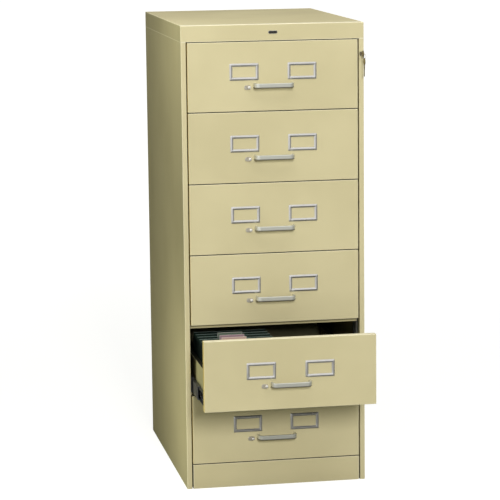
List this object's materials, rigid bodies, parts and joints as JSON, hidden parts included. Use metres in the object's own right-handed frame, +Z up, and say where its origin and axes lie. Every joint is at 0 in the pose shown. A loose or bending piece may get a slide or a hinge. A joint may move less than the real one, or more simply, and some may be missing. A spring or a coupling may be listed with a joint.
{
  "type": "card index cabinet",
  "caption": "Tall steel card index cabinet with a stack of full-extension drawers, each holding two rows of cards; one drawer stands open.",
  "frame": {"origin": "middle of the cabinet's footprint, on the floor", "axes": "+Z up, -Y towards the user and the drawer fronts, +X to the right as one faces the fronts"},
  "size_m": [0.5205, 0.971, 1.321],
  "materials": {
    "putty_paint": "semi-gloss baked enamel, putty",
    "tray_paint": "satin baked enamel, putty",
    "zinc_steel": "zinc-plated, dull",
    "bright_nickel": "bright nickel plate",
    "satin_aluminium": "satin",
    "black_badge": "gloss, blank",
    "key_brass": "nickel-plated brass",
    "green_pressboard": "matte pressboard",
    "tab_card": "matte"
  },
  "bodies": {
    "case": {"left_side_panel": "putty_paint", "right_side_panel": "putty_paint", "back_panel": "putty_paint", "top_cap": "putty_paint", "base_panel": "putty_paint", "bottom_pan": "putty_paint", "slide_posts": "zinc_steel", "cross_rails": "zinc_steel", "case_slide_members": "zinc_steel", "badge_plate": "black_badge", "lock_housing": "bright_nickel"},
    "drawer_1": {"drawer_1_front": "putty_paint", "drawer_1_tray": "tray_paint", "drawer_1_pull": "satin_aluminium", "drawer_1_label_holders": "bright_nickel", "drawer_1_slide_members": "zinc_steel"},
    "drawer_1_middle_slides": {"drawer_1_middle_slide_members": "zinc_steel"},
    "drawer_1_latch": {"drawer_1_thumb_latch": "bright_nickel"},
    "drawer_2": {"drawer_2_front": "putty_paint", "drawer_2_tray": "tray_paint", "drawer_2_pull": "satin_aluminium", "drawer_2_label_holders": "bright_nickel", "drawer_2_slide_members": "zinc_steel"},
    "drawer_2_middle_slides": {"drawer_2_middle_slide_members": "zinc_steel"},
    "drawer_2_latch": {"drawer_2_thumb_latch": "bright_nickel"},
    "drawer_3": {"drawer_3_front": "putty_paint", "drawer_3_tray": "tray_paint", "drawer_3_pull": "satin_aluminium", "drawer_3_label_holders": "bright_nickel", "drawer_3_slide_members": "zinc_steel"},
    "drawer_3_middle_slides": {"drawer_3_middle_slide_members": "zinc_steel"},
    "drawer_3_latch": {"drawer_3_thumb_latch": "bright_nickel"},
    "drawer_4": {"drawer_4_front": "putty_paint", "drawer_4_tray": "tray_paint", "drawer_4_pull": "satin_aluminium", "drawer_4_label_holders": "bright_nickel", "drawer_4_slide_members": "zinc_steel"},
    "drawer_4_middle_slides": {"drawer_4_middle_slide_members": "zinc_steel"},
    "drawer_4_latch": {"drawer_4_thumb_latch": "bright_nickel"},
    "drawer_5": {"drawer_5_front": "putty_paint", "drawer_5_tray": "tray_paint", "drawer_5_pull": "satin_aluminium", "drawer_5_label_holders": "bright_nickel", "drawer_5_slide_members": "zinc_steel", "drawer_5_guide_cards": "green_pressboard", "drawer_5_guide_tabs": "tab_card"},
    "drawer_5_middle_slides": {"drawer_5_middle_slide_members": "zinc_steel"},
    "drawer_5_latch": {"drawer_5_thumb_latch": "bright_nickel"},
    "drawer_6": {"drawer_6_front": "putty_paint", "drawer_6_tray": "tray_paint", "drawer_6_pull": "satin_aluminium", "drawer_6_label_holders": "bright_nickel", "drawer_6_slide_members": "zinc_steel"},
    "drawer_6_middle_slides": {"drawer_6_middle_slide_members": "zinc_steel"},
    "drawer_6_latch": {"drawer_6_thumb_latch": "bright_nickel"},
    "lock_plug": {"lock_plug": "bright_nickel", "lock_key": "key_brass"},
    "lock_bar": {"lock_bar": "zinc_steel"},
    "key_ring": {"key_ring_with_spare_key": "key_brass"}
  },
  "joints": [
    {"name": "drawer_1_slide", "type": "slide", "parent": "case", "child": "drawer_1", "axis": [0, -1, 0], "range_m": [0, 0.64]},
    {"name": "drawer_1_middle_slide", "type": "slide", "parent": "case", "child": "drawer_1_middle_slides", "axis": [0, -1, 0], "range_m": [0, 0.32]},
    {"name": "drawer_1_latch_slide", "type": "slide", "parent": "drawer_1", "child": "drawer_1_latch", "axis": [1, 0, 0], "range_m": [0, 0.005], "stiffness_N_per_m": 150, "springref_m": -0.003},
    {"name": "drawer_2_slide", "type": "slide", "parent": "case", "child": "drawer_2", "axis": [0, -1, 0], "range_m": [0, 0.64]},
    {"name": "drawer_2_middle_slide", "type": "slide", "parent": "case", "child": "drawer_2_middle_slides", "axis": [0, -1, 0], "range_m": [0, 0.32]},
    {"name": "drawer_2_latch_slide", "type": "slide", "parent": "drawer_2", "child": "drawer_2_latch", "axis": [1, 0, 0], "range_m": [0, 0.005], "stiffness_N_per_m": 150, "springref_m": -0.003},
    {"name": "drawer_3_slide", "type": "slide", "parent": "case", "child": "drawer_3", "axis": [0, -1, 0], "range_m": [0, 0.64]},
    {"name": "drawer_3_middle_slide", "type": "slide", "parent": "case", "child": "drawer_3_middle_slides", "axis": [0, -1, 0], "range_m": [0, 0.32]},
    {"name": "drawer_3_latch_slide", "type": "slide", "parent": "drawer_3", "child": "drawer_3_latch", "axis": [1, 0, 0], "range_m": [0, 0.005], "stiffness_N_per_m": 150, "springref_m": -0.003},
    {"name": "drawer_4_slide", "type": "slide", "parent": "case", "child": "drawer_4", "axis": [0, -1, 0], "range_m": [0, 0.64]},
    {"name": "drawer_4_middle_slide", "type": "slide", "parent": "case", "child": "drawer_4_middle_slides", "axis": [0, -1, 0], "range_m": [0, 0.32]},
    {"name": "drawer_4_latch_slide", "type": "slide", "parent": "drawer_4", "child": "drawer_4_latch", "axis": [1, 0, 0], "range_m": [0, 0.005], "stiffness_N_per_m": 150, "springref_m": -0.003},
    {"name": "drawer_5_slide", "type": "slide", "parent": "case", "child": "drawer_5", "axis": [0, -1, 0], "range_m": [-0.219, 0.421]},
    {"name": "drawer_5_middle_slide", "type": "slide", "parent": "case", "child": "drawer_5_middle_slides", "axis": [0, -1, 0], "range_m": [-0.1095, 0.2105]},
    {"name": "drawer_5_latch_slide", "type": "slide", "parent": "drawer_5", "child": "drawer_5_latch", "axis": [1, 0, 0], "range_m": [0, 0.005], "stiffness_N_per_m": 150, "springref_m": -0.003},
    {"name": "drawer_6_slide", "type": "slide", "parent": "case", "child": "drawer_6", "axis": [0, -1, 0], "range_m": [0, 0.64]},
    {"name": "drawer_6_middle_slide", "type": "slide", "parent": "case", "child": "drawer_6_middle_slides", "axis": [0, -1, 0], "range_m": [0, 0.32]},
    {"name": "drawer_6_latch_slide", "type": "slide", "parent": "drawer_6", "child": "drawer_6_latch", "axis": [1, 0, 0], "range_m": [0, 0.005], "stiffness_N_per_m": 150, "springref_m": -0.003},
    {"name": "lock_turn", "type": "hinge", "parent": "case", "child": "lock_plug", "pos_m": [0.25285, -0.362, 1.232], "axis": [0, 1, 0], "range_deg": [0, 90]},
    {"name": "lock_bar_lift", "type": "slide", "parent": "case", "child": "lock_bar", "axis": [0, 0, 1], "range_m": [0, 0.00509]},
    {"name": "key_ring_swing", "type": "hinge", "parent": "lock_plug", "child": "key_ring", "pos_m": [0.25285, -0.3902, 1.232], "axis": [1, 0, 0], "range_deg": [-70, 5]}
  ],
  "couplings": [
    {"joint": "drawer_1_middle_slide", "follows": "drawer_1_slide", "ratio": 0.5},
    {"joint": "drawer_2_middle_slide", "follows": "drawer_2_slide", "ratio": 0.5},
    {"joint": "drawer_3_middle_slide", "follows": "drawer_3_slide", "ratio": 0.5},
    {"joint": "drawer_4_middle_slide", "follows": "drawer_4_slide", "ratio": 0.5},
    {"joint": "drawer_5_middle_slide", "follows": "drawer_5_slide", "ratio": 0.5},
    {"joint": "drawer_6_middle_slide", "follows": "drawer_6_slide", "ratio": 0.5},
    {"joint": "lock_turn", "follows": "lock_bar_lift", "rad_per_m": 308.53}
  ]
}
